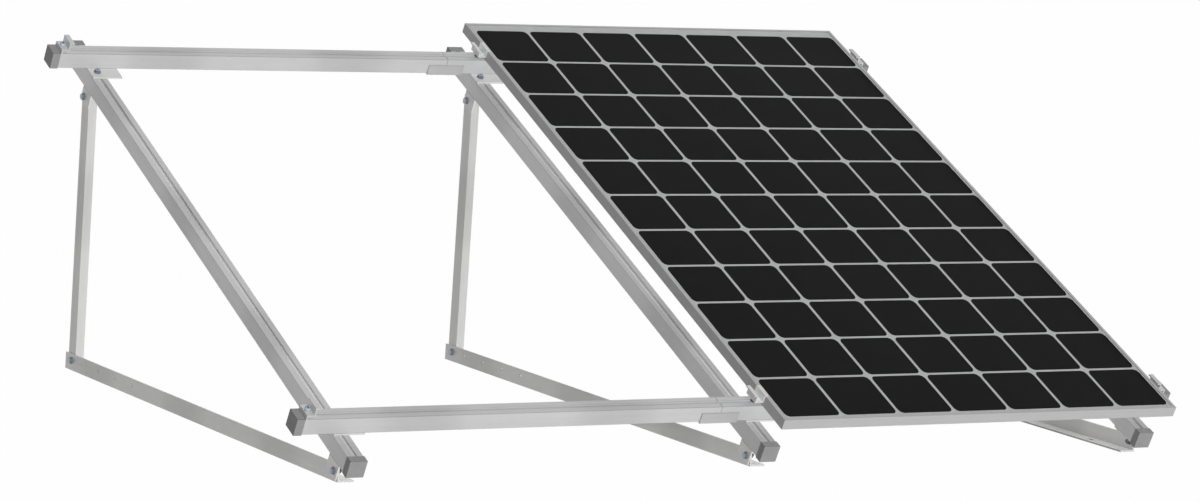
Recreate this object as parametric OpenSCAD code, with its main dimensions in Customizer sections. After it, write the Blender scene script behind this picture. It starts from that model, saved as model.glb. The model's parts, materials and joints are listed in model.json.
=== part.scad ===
// Free-standing tilt frame for two framed solar panels side by side, with one panel fitted.
// Three triangular supports (base rail, upright leg, sloping strut) carry two cross rails.
// Struts and rails are slotted square extrusions joined with T-bolts.
// All sizes are in millimetres. The frame stands on z = 0, x runs along the cross rails and the
// slope falls towards -y.

/* [Frame] */
// Angle of the slope above the level, in degrees
tilt = 24.5; // [18:0.5:30]
// Length of a cross rail, over its end caps
rail_length = 2360; // [2330:5:2500]
// Distance from the upper rail to the lower rail, measured down the slope
rail_spacing = 1542; // [1400:2:1600]
// How far each strut runs past the rails, over its end caps
strut_overhang = 100; // [75:1:140]
// Distance from a rail's end to the outer support
support_inset = 98; // [90:1:160]
// Distance from the panel's left side back to the middle support
middle_back = 31; // [20:1:40]
// Distance from the panel's left side back to the seam between the two rail lengths
seam_back = 107; // [100:1:180]
// Width of the seam
seam_gap = 1.2; // [0:0.1:2]

/* [Slotted bar] */
// Outer side of the square bar
bar = 40; // [38:1:44]
// Width of the slot in its top and bottom faces
slot_w = 10.4; // [9.5:0.1:12]
// Thickness of the lips beside the slot
lip_t = 5; // [3:0.1:5.5]
// Width of the channel behind the slot
channel_w = 20; // [18:0.5:21]
// Depth of the channel's floor below the bar's face
channel_d = 12; // [11.5:0.5:12.5]
// Wall thickness of the bar
bar_wall = 2; // [1.6:0.1:2.4]
// Radius of the bar's outer edges
bar_edge_r = 0.8; // [0.4:0.1:1.2]

/* [End caps] */
// Wall of the cap round the bar
cap_wall = 1.5; // [1.2:0.1:2.5]
// Thickness of the cap's closed end
cap_end = 2; // [1.5:0.1:4]
// Outside length of the cap along the bar
cap_depth = 20; // [14:1:24]
// Clearance between cap and bar, all round
cap_fit = 0.1; // [0.05:0.05:0.3]
// Radius of the cap's edges
cap_edge_r = 1.2; // [0.5:0.1:1.5]

/* [Base rails] */
// Height of the base rail's web
base_h = 40; // [38:1:44]
// Width of the base rail's flange
base_w = 40; // [38:1:50]
// Thickness of the base rail
base_t = 4; // [3:0.5:5]
// Height of the hole row above the ground
hole_height = 24; // [22:0.5:26]
// Length of base rail in front of the front pivot
base_front = 14; // [12:1:30]
// Length of base rail behind the rear pivot
base_rear = 36; // [28:1:60]
// Radius of the web's front top corner
base_corner_r = 10; // [9:0.5:12]
// Number of spare holes for other leg positions
spare_holes = 4; // [2:1:6]
// Distance from the rear pivot to the first spare hole
spare_first = 61; // [45:1:80]
// Distance between spare holes
spare_pitch = 99; // [60:1:120]
// Length of the fixing slots in the flange, end to end
foot_slot_l = 22; // [16:1:30]
// Width of the fixing slots
foot_slot_w = 9; // [8:0.5:11]
// Distance from each end of the base rail to its fixing slot
foot_slot_end = 146; // [60:1:200]
// Distance from the web's outer face to the fixing slots
foot_slot_x = 22; // [16:0.5:26]

/* [Legs] */
// Width of the leg's side web
leg_w = 40; // [34:1:46]
// Width of the leg's front flange
leg_flange = 22; // [20:1:30]
// Thickness of the leg
leg_t = 3; // [2.5:0.5:4]
// Gap between the leg's foot and the base rail's flange
leg_foot_gap = 1.5; // [1:0.5:3]
// Length of leg above its top pivot
leg_top = 12; // [10:0.5:13]
// Clearance between the pivot nuts and the leg's front flange
leg_nut_gap = 0.65; // [0.3:0.05:1.5]

/* [Strut brackets] */
// Thickness of the brackets under the struts
bracket_t = 4; // [3:0.5:5]
// Length of a bracket along the strut
bracket_len = 51; // [48:1:60]
// How far a bracket hangs below the strut
bracket_drop = 38; // [34:1:42]
// Depth of the pivot hole below the strut
pivot_drop = 22.4; // [22:0.1:24]
// Distance from the pivot hole to the bracket's end
pivot_edge = 16; // [12:0.5:18]
// Distance from the T-bolt to the bracket's other end
bracket_bolt_edge = 14; // [10:0.5:14]
// Distance from the strut's front end to the front pivot
front_pivot_in = 57.5; // [50:0.5:70]
// Distance from the upper rail's front face to the top pivot
top_pivot_past = 20; // [17:0.5:30]
// Radius of the bracket's outer bend
bracket_bend_r = 1.5; // [0.5:0.1:2.5]

/* [Connector plates] */
// Thickness of the plates between rails and struts
plate_t = 5; // [4:0.5:6]
// Width of a plate along the rail
plate_w = 78; // [74:1:84]
// How far a plate runs out past the rail
plate_past = 40; // [30:1:46]
// Distance from the rail's face to the strut's T-bolt
plate_bolt_past = 18; // [12:0.5:20]
// Distance from the plate's end to the rail's T-bolt
plate_bolt_edge = 15.5; // [12:0.5:18]
// Radius of a plate's corners
plate_r = 2; // [1:0.5:5]

/* [Splices] */
// Length of a splice angle
splice_len = 100; // [80:1:110]
// Thickness of a splice angle
splice_t = 3; // [2:0.5:4]
// Height of its front leg
splice_h = 27; // [20:1:34]
// Width of its lower leg
splice_w = 40; // [34:1:42]
// Distance from the seam to each splice bolt
splice_bolt_x = 24.5; // [20:0.5:30]

/* [Fasteners] */
// Diameter of the bolts
bolt_d = 8; // [7:0.5:9]
// Clearance round a bolt in its hole
hole_clear = 0.5; // [0.3:0.1:0.8]
// Clearance between nut and thread
thread_fit = 0.05; // [0.02:0.01:0.1]
// Distance across the flats of nuts and heads
hex_af = 13; // [12.5:0.5:14]
// Height of nuts and hexagon heads, with their flange
nut_h = 8; // [7:0.5:9]
// Diameter of the flange under nuts and heads
flange_d = 17.9; // [17:0.1:18.5]
// Thickness of that flange
flange_t = 1.8; // [1.2:0.1:2.5]
// Length of thread beyond a nut
thread_out = 4; // [2:0.5:5]
// Thickness of T-bolt heads and T-nuts
t_head_h = 4; // [3:0.5:5]
// Clearance between a T-bolt head and the channel's sides
t_head_clear = 0.5; // [0.3:0.1:1]
// Clearance between a T-bolt head and the slot it drops through
t_slot_clear = 0.2; // [0.1:0.1:0.4]
// Diameter of the socket heads on the clamp bolts
socket_head_d = 13; // [12:0.5:13.5]
// Height of the socket heads
socket_head_h = 8; // [7:0.5:9]
// Distance across the flats of the socket
socket_af = 6; // [5:0.5:7]
// Depth of the socket
socket_depth = 4; // [3:0.5:5]

/* [Panel clamps] */
// Wall thickness of the panel clamps
clamp_t = 3.3; // [2.5:0.1:4]
// Length of a clamp across the rail
clamp_len = 42; // [36:1:60]
// Foot of an end clamp, outside its upright
clamp_foot = 17.5; // [16:0.5:22]
// Lip of an end clamp, past its upright
clamp_lip = 8.5; // [6:0.5:10]
// Distance from the bolt to the end clamp's upright
clamp_bolt_in = 9; // [7.5:0.5:9.5]
// Gap between an end cap and the end clamp beside it
clamp_cap_gap = 0.5; // [0.3:0.1:3]
// Outer width of a mid clamp's channel
mid_clamp_w = 23.6; // [22:0.2:26]
// Lips of a mid clamp
mid_clamp_lip = 7; // [6:0.5:10]
// Gap between a clamp and the panel's side
clamp_side_gap = 0.3; // [0.1:0.1:1]

/* [Solar panel] */
// Width of the panel, along the rails
panel_w = 1118; // [1095:1:1125]
// Length of the panel, down the slope
panel_l = 1780; // [1770:1:1800]
// Distance from the rails' right end to the panel
panel_inset = 55; // [52:1:100]
// How far the panel runs up past the upper rail
panel_past = 102.5; // [60:0.5:120]
// Height of the panel's frame
frame_h = 26; // [24:1:35]
// Outer wall of the panel's frame
frame_wall = 2; // [1.5:0.1:2.5]
// Thickness of the frame's lips
frame_lip_t = 1.5; // [1:0.1:2]
// Width of the frame's lip over the glass
frame_lip_w = 8.5; // [7:0.5:9]
// Width of the frame's bottom flange
frame_flange_w = 28; // [20:1:32]
// Gap between the laminate's edge and the frame
laminate_gap = 0.5; // [0.3:0.1:1.5]
// Thickness of the glass
glass_t = 3.2; // [2:0.1:4]
// Thickness of the rear sheet
rear_sheet_t = 1; // [0.6:0.1:2]
// Thickness of a cell
cell_t = 0.4; // [0.2:0.1:0.6]
// Gap between neighbouring cells
cell_gap = 8.1; // [2:0.1:8.1]
// Distance from the panel's left side to the first cell
cell_margin_left = 17.5; // [12:0.5:22]
// Distance from the last cell to the panel's right side
cell_margin_right = 8.9; // [8.6:0.1:22]
// Distance from the panel's upper end to the first cell
cell_margin_top = 29; // [12:0.5:32]
// Distance from the last cell to the panel's lower end
cell_margin_bottom = 20; // [12:0.5:32]
// Cells across the panel
cell_columns = 7; // [5:1:7]
// Cells down the panel
cell_rows = 11; // [8:1:11]
// Width of the cut corners of a cell
cell_cut_w = 10; // [6:0.5:16]
// Length of the cut corners of a cell
cell_cut_l = 13; // [6:0.5:18]

/* [Junction box] */
// Width of the junction box
box_w = 110; // [80:1:130]
// Length of the junction box, down the slope
box_l = 80; // [60:1:100]
// Height of the junction box with its lid
box_h = 17; // [12:0.5:18]
// Thickness of the lid
box_lid_t = 3; // [2:0.5:4]
// Radius of the box's corners
box_r = 6; // [3:0.5:10]
// Distance from the upper rail's front face to the box
box_past = 35; // [25:1:80]
// Outer diameter of the lead glands
gland_d = 13; // [10:0.5:14]
// Bore of the lead glands
gland_bore = 6; // [4:0.5:7]
// Length of the lead glands
gland_l = 10; // [6:1:16]

/* [Hidden] */

// Overshoot of cutting tools past the faces they cut
cut = 1;
// Facets of drawn arcs and bores
arc_fn = 24;
bore_fn = 32;

// Left, middle and right support, and the row of supports
LEFT = 0;
MIDDLE = 1;
RIGHT = 2;
SUPPORTS = [LEFT, MIDDLE, RIGHT];

// Distance from the rails' left end to the panel, the seam and the near face of each strut
panel_x = rail_length - panel_inset - panel_w;
seam_x = panel_x - seam_back;
support_x = [support_inset, panel_x - middle_back, rail_length - support_inset - bar];

// Slope coordinates: x along the rails from their left end, s down the slope from the upper
// rail's upper face and n square to it from the struts' top face
rail_s = [0, rail_spacing];
rail_n = plate_t;
rail_top_n = plate_t + bar;
strut_top_s = -strut_overhang;
strut_low_s = rail_spacing + bar + strut_overhang;
pivot_n = -bar - pivot_drop;
front_pivot_s = strut_low_s - front_pivot_in;
top_pivot_s = bar + top_pivot_past;

// Level distance and height of a slope point from the slope's origin
function run_of(s, n) = -s * cos(tilt) - n * sin(tilt);
function rise_of(s, n) = -s * sin(tilt) + n * cos(tilt);

// Pivots of a support on the ground: the leg stands upright under its top pivot
front_pivot_y = run_of(front_pivot_s, pivot_n);
rear_pivot_y = run_of(top_pivot_s, pivot_n);
base_front_y = front_pivot_y - base_front;
base_len = base_front + rear_pivot_y - front_pivot_y + base_rear;
slope_z = hole_height - rise_of(front_pivot_s, pivot_n);
top_pivot_z = slope_z + rise_of(top_pivot_s, pivot_n);

// Outermost points of the whole frame along y, which set its middle
panel_top_n = rail_top_n + frame_h;
panel_low_s = panel_l - panel_past;
cap_n = -bar - cap_wall;
foremost_y = min(run_of(panel_low_s, panel_top_n), run_of(strut_low_s, cap_wall), base_front_y);
rearmost_y = max(run_of(strut_top_s, cap_n), run_of(-panel_past, rail_top_n), base_front_y + base_len);
slope_y = -(foremost_y + rearmost_y) / 2;

// Faces of a support from its strut's near face inwards
web_x = bracket_t;
leg_x = bracket_t + base_t;
leg_inner_x = leg_x + leg_t;
leg_front = leg_t + flange_d / 2 + leg_nut_gap;

// Fastener sizes that follow from others
hole_d = bolt_d + 2 * hole_clear;
nut_bore = bolt_d + 2 * thread_fit;
t_head_w = channel_w - 2 * t_head_clear;
t_head_l = slot_w - 2 * t_slot_clear;

// Places of the T-bolts, clamps and panel
bracket_bolt_gap = bracket_len - pivot_edge - bracket_bolt_edge;
front_bracket_bolt_s = front_pivot_s - bracket_bolt_gap;
top_bracket_bolt_s = top_pivot_s + bracket_bolt_gap;
plate_rail_bolt_x = plate_w - plate_bolt_edge;
plate_strut_bolt_s = [bar + plate_bolt_past, rail_spacing - plate_bolt_past];
end_clamp_x = cap_depth + clamp_cap_gap;
end_clamp_bolt_x = end_clamp_x + clamp_foot - clamp_bolt_in;
mid_clamp_x = panel_x - clamp_side_gap - mid_clamp_w;
mid_clamp_bolt_x = mid_clamp_x + mid_clamp_w / 2;
clamp_bolt_x = [end_clamp_bolt_x, mid_clamp_bolt_x, rail_length - end_clamp_bolt_x];

// Height of the clamps' feet above the rail: the mid clamps lie on lock nuts
clamp_seat = nut_h;

// Size of a cell, which fills the panel between its margins
cell_w = (panel_w - cell_margin_left - cell_margin_right + cell_gap) / cell_columns - cell_gap;
cell_l = (panel_l - cell_margin_top - cell_margin_bottom + cell_gap) / cell_rows - cell_gap;

// Heights in the panel, above its underside
laminate_top = frame_h - frame_lip_t;
glass_bottom = laminate_top - glass_t;
cell_bottom = glass_bottom - cell_t;
laminate_bottom = cell_bottom - rear_sheet_t;
laminate_in = frame_wall + laminate_gap;

metal = "silver";
cap_colour = "dimgray";
zinc = "lightsteelblue";

// Moves a piece drawn in slope coordinates, with y = -s and z = n, to its place
module on_slope() {
    translate([-rail_length / 2, slope_y, slope_z]) rotate([tilt, 0, 0]) children();
}

// Moves a piece drawn with its feet on z = 0 and y from the slope's origin
module on_ground() {
    translate([-rail_length / 2, slope_y, 0]) children();
}

// Moves a piece drawn inwards from a strut's near face to one support; the right one is mirrored
module at_support(i) {
    if (i == RIGHT) translate([support_x[i] + bar, 0, 0]) mirror([1, 0, 0]) children();
    else translate([support_x[i], 0, 0]) children();
}

// Square outline with rounded corners, centred
module rounded_rect(w, h, r) {
    square([w, h - 2 * r], center = true);
    square([w - 2 * r, h], center = true);
    for (u = [-1, 1], v = [-1, 1])
        translate([u * (w / 2 - r), v * (h / 2 - r)]) circle(r = r, $fn = arc_fn);
}

// Cross-section of the slotted bar, with its slots up and down
module bar_section() {
    side_w = bar / 2 - 2 * bar_wall - channel_w / 2;
    difference() {
        rounded_rect(bar, bar, bar_edge_r);
        for (turn = [0, 180]) rotate(turn) {
            translate([-slot_w / 2, bar / 2 - channel_d]) square([slot_w, channel_d + cut]);
            translate([-channel_w / 2, bar / 2 - channel_d]) square([channel_w, channel_d - lip_t]);
        }
        square([channel_w, bar - 2 * channel_d - 2 * bar_wall], center = true);
        for (u = [-1, 1])
            translate([u * (channel_w + 2 * bar_wall + side_w) / 2, 0])
                square([side_w, bar - 2 * bar_wall], center = true);
    }
}

// Slotted bar along +x from the origin, centred on its axis
module bar_along_x(len) {
    rotate([90, 0, 90]) linear_extrude(len) bar_section();
}

// Sleeve cap on a bar end at the origin, with the bar running to +x
module sleeve_cap() {
    outer = bar + 2 * cap_wall;
    inner = bar + 2 * cap_fit;
    color(cap_colour) difference() {
        translate([-cap_end, 0, 0])
            rotate([90, 0, 90]) linear_extrude(cap_depth) rounded_rect(outer, outer, cap_edge_r);
        translate([0, -inner / 2, -inner / 2]) cube([cap_depth, inner, inner]);
    }
}

// Base rail: angle with a standing web and a flat flange
module base_rail(i) {
    front_y = base_front_y;
    rear_y = base_front_y + base_len;
    color(metal) on_ground() at_support(i) difference() {
        union() {
            translate([web_x, 0, 0]) rotate([90, 0, 90]) linear_extrude(base_t) union() {
                translate([front_y + base_corner_r, 0]) square([base_len - base_corner_r, base_h]);
                translate([front_y, 0]) square([base_len, base_h - base_corner_r]);
                translate([front_y + base_corner_r, base_h - base_corner_r])
                    circle(r = base_corner_r, $fn = bore_fn);
            }
            translate([web_x, front_y, 0]) cube([base_w, base_len, base_t]);
        }
        for (y = base_hole_ys())
            translate([web_x - cut, y, hole_height]) rotate([0, 90, 0])
                cylinder(d = hole_d, h = base_t + 2 * cut, $fn = bore_fn);
        for (y = [front_y + foot_slot_end, rear_y - foot_slot_end])
            translate([web_x + foot_slot_x, y, -cut]) foot_slot();
    }
}

// Places of the holes in a base rail's web: the pivots and the spare ones
function base_hole_ys() = concat(
    [front_pivot_y, rear_pivot_y],
    [for (k = [0 : spare_holes - 1]) rear_pivot_y - spare_first - k * spare_pitch]
);

// Cutter for one fixing slot, which runs along the base rail
module foot_slot() {
    reach = (foot_slot_l - foot_slot_w) / 2;
    linear_extrude(base_t + 2 * cut) union() {
        square([foot_slot_w, 2 * reach], center = true);
        for (v = [-1, 1]) translate([0, v * reach]) circle(d = foot_slot_w, $fn = bore_fn);
    }
}

// Upright leg: angle with its web beside the base rail and its flange to the front
module leg(i) {
    foot_z = base_t + leg_foot_gap;
    leg_len = top_pivot_z + leg_top - foot_z;
    color(metal) on_ground() at_support(i) difference() {
        translate([leg_x, rear_pivot_y - leg_front, foot_z]) linear_extrude(leg_len) union() {
            square([leg_t, leg_w]);
            square([leg_flange, leg_t]);
        }
        for (z = [hole_height, top_pivot_z])
            translate([leg_x - cut, rear_pivot_y, z]) rotate([0, 90, 0])
                cylinder(d = hole_d, h = leg_t + 2 * cut, $fn = bore_fn);
    }
}

// Spacer ring between a top bracket and its leg
module leg_spacer(i) {
    color(zinc) on_slope() at_support(i) translate([web_x, -top_pivot_s, pivot_n]) rotate([0, 90, 0])
        difference() {
            cylinder(d = flange_d, h = base_t, $fn = bore_fn);
            translate([0, 0, -cut]) cylinder(d = hole_d, h = base_t + 2 * cut, $fn = bore_fn);
        }
}

// Sloping strut
module strut(i) {
    len = strut_low_s - strut_top_s - 2 * cap_end;
    color(metal) on_slope() at_support(i)
        translate([bar / 2, -strut_top_s - cap_end, -bar / 2]) rotate([0, 0, -90]) bar_along_x(len);
}

// Caps on a strut's two ends
module strut_cap_low(i) {
    on_slope() at_support(i)
        translate([bar / 2, -strut_low_s + cap_end, -bar / 2]) rotate([0, 0, 90]) sleeve_cap();
}

module strut_cap_top(i) {
    on_slope() at_support(i)
        translate([bar / 2, -strut_top_s - cap_end, -bar / 2]) rotate([0, 0, -90]) sleeve_cap();
}

// Angle bracket under a strut; side is 1 where its pivot end points down the slope, else -1
module strut_bracket(i, pivot_s, side) {
    end_s = pivot_s + side * pivot_edge;
    far_s = end_s - side * bracket_len;
    bolt_s = pivot_s - side * bracket_bolt_gap;
    color(metal) on_slope() at_support(i) difference() {
        translate([0, -min(end_s, far_s), -bar]) rotate([90, 0, 0]) linear_extrude(bracket_len)
            bracket_section();
        translate([-cut, -pivot_s, pivot_n]) rotate([0, 90, 0])
            cylinder(d = hole_d, h = bracket_t + 2 * cut, $fn = bore_fn);
        translate([bar / 2, -bolt_s, -bar - bracket_t - cut])
            cylinder(d = hole_d, h = bracket_t + 2 * cut, $fn = bore_fn);
    }
}

// Cross-section of a strut bracket, hanging below the origin at its outer bend
module bracket_section() {
    difference() {
        union() {
            translate([0, -bracket_drop]) square([bracket_t, bracket_drop]);
            translate([0, -bracket_t]) square([bar, bracket_t]);
        }
        difference() {
            translate([-cut, -bracket_bend_r]) square([bracket_bend_r + cut, bracket_bend_r + cut]);
            translate([bracket_bend_r, -bracket_bend_r]) circle(r = bracket_bend_r, $fn = arc_fn);
        }
    }
}

// One length of cross rail, from one x to another
module rail(row, x_from, x_to) {
    color(metal) on_slope()
        translate([x_from, -rail_s[row] - bar / 2, rail_n + bar / 2]) bar_along_x(x_to - x_from);
}

module rail_left(row) {
    rail(row, cap_end, seam_x - seam_gap / 2);
}

module rail_right(row) {
    rail(row, seam_x + seam_gap / 2, rail_length - cap_end);
}

module rail_cap_left(row) {
    on_slope() translate([cap_end, -rail_s[row] - bar / 2, rail_n + bar / 2]) sleeve_cap();
}

module rail_cap_right(row) {
    on_slope() translate([rail_length - cap_end, -rail_s[row] - bar / 2, rail_n + bar / 2])
        rotate([0, 0, 180]) sleeve_cap();
}

// Connector plate between a strut and the rail of one row; it runs out towards the other rail
module connector_plate(i, row) {
    len = bar + plate_past;
    start_s = row == 0 ? 0 : rail_spacing - plate_past;
    color(metal) on_slope() at_support(i) difference() {
        translate([plate_w / 2, -start_s - len / 2, 0]) linear_extrude(plate_t)
            rounded_rect(plate_w, len, plate_r);
        translate([bar / 2, -plate_strut_bolt_s[row], -cut])
            cylinder(d = hole_d, h = plate_t + 2 * cut, $fn = bore_fn);
        translate([plate_rail_bolt_x, -rail_s[row] - bar / 2, -cut])
            cylinder(d = hole_d, h = plate_t + 2 * cut, $fn = bore_fn);
    }
}

// Splice angle under a seam, with its standing leg on the rail's lower side
module splice(row) {
    front_s = rail_s[row] + bar;
    color(metal) on_slope() difference() {
        translate([seam_x - splice_len / 2, -front_s - splice_t, rail_n - splice_t]) union() {
            cube([splice_len, splice_w, splice_t]);
            cube([splice_len, splice_t, splice_h]);
        }
        for (u = [-1, 1])
            translate([seam_x + u * splice_bolt_x, -rail_s[row] - bar / 2, rail_n - splice_t - cut])
                cylinder(d = hole_d, h = splice_t + 2 * cut, $fn = bore_fn);
    }
}

// Hexagon with a round flange under it, standing on z = 0
module flanged_hex() {
    cylinder(d = flange_d, h = flange_t, $fn = bore_fn);
    cylinder(d = hex_af / cos(30), h = nut_h, $fn = 6);
}

module flange_nut() {
    color(zinc) difference() {
        flanged_hex();
        translate([0, 0, -cut]) cylinder(d = nut_bore, h = nut_h + 2 * cut, $fn = bore_fn);
    }
}

// Pivot bolt along +z: its head below z = 0, then the clamped pieces, the nut and some thread
module pivot_bolt(grip) {
    color(zinc) union() {
        mirror([0, 0, 1]) flanged_hex();
        cylinder(d = bolt_d, h = grip + nut_h + thread_out, $fn = bore_fn);
    }
}

// T-bolt along +z out of a slot: the bar's face is z = 0 and the head lies behind the lips
module t_bolt(grip) {
    color(zinc) union() {
        translate([-t_head_w / 2, -t_head_l / 2, -lip_t - t_head_h])
            cube([t_head_w, t_head_l, t_head_h]);
        translate([0, 0, -lip_t])
            cylinder(d = bolt_d, h = lip_t + grip + nut_h + thread_out, $fn = bore_fn);
    }
}

// The pivots of each support: place along y and z, first clamped face and clamped thickness
function pivot_spots() = [
    [front_pivot_y, hole_height, 0, bracket_t + base_t],
    [rear_pivot_y, hole_height, web_x, base_t + leg_t],
    [rear_pivot_y, top_pivot_z, 0, bracket_t + base_t + leg_t]
];

module pivot_bolts() {
    for (i = SUPPORTS, p = pivot_spots())
        on_ground() at_support(i) translate([p[2], p[0], p[1]]) rotate([0, 90, 0]) pivot_bolt(p[3]);
}

module pivot_nuts() {
    for (i = SUPPORTS, p = pivot_spots())
        on_ground() at_support(i) translate([p[2] + p[3], p[0], p[1]]) rotate([0, 90, 0]) flange_nut();
}

// Every T-bolt: x, s and n of the bar's face, up (1) or down (-1), along a strut (0) or a rail (1)
// and clamped thickness
function inward_x(i, x) = i == RIGHT ? support_x[i] + bar - x : support_x[i] + x;
function t_bolt_spots() = concat(
    [for (i = SUPPORTS, row = [0, 1])
        [inward_x(i, bar / 2), plate_strut_bolt_s[row], 0, 1, 0, plate_t]],
    [for (i = SUPPORTS, row = [0, 1])
        [inward_x(i, plate_rail_bolt_x), rail_s[row] + bar / 2, rail_n, -1, 1, plate_t]],
    [for (u = [-1, 1], row = [0, 1])
        [seam_x + u * splice_bolt_x, rail_s[row] + bar / 2, rail_n, -1, 1, splice_t]],
    [for (i = SUPPORTS, s = [front_bracket_bolt_s, top_bracket_bolt_s])
        [inward_x(i, bar / 2), s, -bar, -1, 0, bracket_t]]
);

module at_t_bolt(p) {
    on_slope() translate([p[0], -p[1], p[2]])
        rotate([p[3] == 1 ? 0 : 180, 0, 0]) rotate([0, 0, 90 * p[4]]) children();
}

module t_bolts() {
    for (p = t_bolt_spots()) at_t_bolt(p) t_bolt(p[5]);
}

module t_bolt_nuts() {
    for (p = t_bolt_spots()) at_t_bolt(p) translate([0, 0, p[5]]) flange_nut();
}

// Moves a clamp part, drawn with the rail's top face at z = 0 and the rail's middle at y = 0
module at_clamp(row, x) {
    on_slope() translate([x, -rail_s[row] - bar / 2, rail_top_n]) children();
}

// Z-shaped end clamp: heel on the rail, foot, upright, and a lip that reaches over the panel's frame
module end_clamp() {
    outer_x = clamp_foot + clamp_t;
    color(metal) difference() {
        translate([0, clamp_len / 2, 0]) rotate([90, 0, 0]) linear_extrude(clamp_len) union() {
            square([clamp_t, clamp_seat + clamp_t]);
            translate([0, clamp_seat]) square([outer_x, clamp_t]);
            translate([clamp_foot, clamp_seat]) square([clamp_t, frame_h + clamp_t - clamp_seat]);
            translate([clamp_foot, frame_h]) square([clamp_t + clamp_lip, clamp_t]);
        }
        translate([clamp_foot - clamp_bolt_in, 0, clamp_seat - cut])
            cylinder(d = hole_d, h = clamp_t + 2 * cut, $fn = bore_fn);
    }
}

module end_clamp_left(row) {
    at_clamp(row, end_clamp_x) end_clamp();
}

module end_clamp_right(row) {
    at_clamp(row, rail_length - end_clamp_x) mirror([1, 0, 0]) end_clamp();
}

// U-shaped mid clamp: channel on its lock nut, with a lip to each side over the panels' frames
module mid_clamp(row) {
    color(metal) at_clamp(row, mid_clamp_x) difference() {
        translate([0, clamp_len / 2, 0]) rotate([90, 0, 0]) linear_extrude(clamp_len) union() {
            translate([0, clamp_seat]) square([mid_clamp_w, clamp_t]);
            for (x = [0, mid_clamp_w - clamp_t])
                translate([x, clamp_seat]) square([clamp_t, frame_h + clamp_t - clamp_seat]);
            for (x = [-mid_clamp_lip, mid_clamp_w - clamp_t])
                translate([x, frame_h]) square([mid_clamp_lip + clamp_t, clamp_t]);
        }
        translate([mid_clamp_w / 2, 0, clamp_seat - cut])
            cylinder(d = hole_d, h = clamp_t + 2 * cut, $fn = bore_fn);
    }
}

// Socket cap bolt of a clamp, down into the T-nut
module clamp_bolt() {
    head_z = clamp_seat + clamp_t;
    tip_z = -lip_t - t_head_h - t_head_clear;
    color(zinc) difference() {
        union() {
            translate([0, 0, head_z]) cylinder(d = socket_head_d, h = socket_head_h, $fn = bore_fn);
            translate([0, 0, tip_z]) cylinder(d = bolt_d, h = head_z - tip_z, $fn = bore_fn);
        }
        translate([0, 0, head_z + socket_head_h - socket_depth])
            cylinder(d = socket_af / cos(30), h = socket_depth + cut, $fn = 6);
    }
}

// T-nut behind the rail's lips
module t_nut() {
    color(zinc) translate([0, 0, -lip_t - t_head_h]) difference() {
        translate([-t_head_l / 2, -t_head_w / 2, 0]) cube([t_head_l, t_head_w, t_head_h]);
        translate([0, 0, -cut]) cylinder(d = nut_bore, h = t_head_h + 2 * cut, $fn = bore_fn);
    }
}

module clamp_bolts() {
    for (row = [0, 1], x = clamp_bolt_x) at_clamp(row, x) clamp_bolt();
}

// Lock nuts between the mid clamps and the rails
module clamp_lock_nuts() {
    for (row = [0, 1]) at_clamp(row, mid_clamp_bolt_x) flange_nut();
}

module clamp_t_nuts() {
    for (row = [0, 1], x = clamp_bolt_x) at_clamp(row, x) t_nut();
}

// Moves a piece of the panel, drawn from the panel's upper left corner with y down the slope
// negative and its underside at z = 0
module on_panel() {
    on_slope() translate([panel_x, panel_past, rail_top_n]) children();
}

// Cross-section of the panel's frame: wall at x = 0, grooved lips for the laminate, bottom flange
module frame_section() {
    square([frame_wall, frame_h]);
    square([frame_flange_w, frame_lip_t]);
    translate([0, laminate_bottom - frame_lip_t]) square([frame_lip_w, frame_lip_t]);
    translate([0, laminate_top]) square([frame_lip_w, frame_lip_t]);
}

// Mitred frame member along +y from the origin, with its inside towards +x
module frame_member(len) {
    w = frame_flange_w;
    color("lightgray") intersection() {
        translate([0, len, 0]) rotate([90, 0, 0]) linear_extrude(len) frame_section();
        linear_extrude(frame_h) polygon([[0, 0], [w, w], [w, len - w], [0, len]]);
    }
}

module panel_frame_left() {
    on_panel() translate([0, -panel_l, 0]) frame_member(panel_l);
}

module panel_frame_right() {
    on_panel() translate([panel_w, 0, 0]) rotate([0, 0, 180]) frame_member(panel_l);
}

module panel_frame_top() {
    on_panel() rotate([0, 0, -90]) frame_member(panel_w);
}

module panel_frame_bottom() {
    on_panel() translate([panel_w, -panel_l, 0]) rotate([0, 0, 90]) frame_member(panel_w);
}

// Sheet of the laminate between two heights
module laminate_sheet(bottom, thickness) {
    translate([laminate_in, laminate_in - panel_l, bottom])
        cube([panel_w - 2 * laminate_in, panel_l - 2 * laminate_in, thickness]);
}

module panel_glass() {
    color("black") on_panel() laminate_sheet(glass_bottom, glass_t);
}

module panel_rear_sheet() {
    color("lightgray") on_panel() laminate_sheet(laminate_bottom, rear_sheet_t);
}

// One cell with cut corners, centred
module cell() {
    w = cell_w / 2;
    l = cell_l / 2;
    cw = cell_cut_w;
    cl = cell_cut_l;
    linear_extrude(cell_t) polygon([
        [w, l - cl], [w - cw / 3, l - cl / 3], [w - cw, l],
        [cw - w, l], [cw / 3 - w, l - cl / 3], [-w, l - cl],
        [-w, cl - l], [cw / 3 - w, cl / 3 - l], [cw - w, -l],
        [w - cw, -l], [w - cw / 3, cl / 3 - l], [w, cl - l]
    ]);
}

module panel_cells() {
    color([0.13, 0.13, 0.13]) on_panel()
        for (column = [0 : cell_columns - 1], row = [0 : cell_rows - 1])
            translate([
                cell_margin_left + cell_w / 2 + column * (cell_w + cell_gap),
                -cell_margin_top - cell_l / 2 - row * (cell_l + cell_gap),
                cell_bottom
            ]) cell();
}

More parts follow.
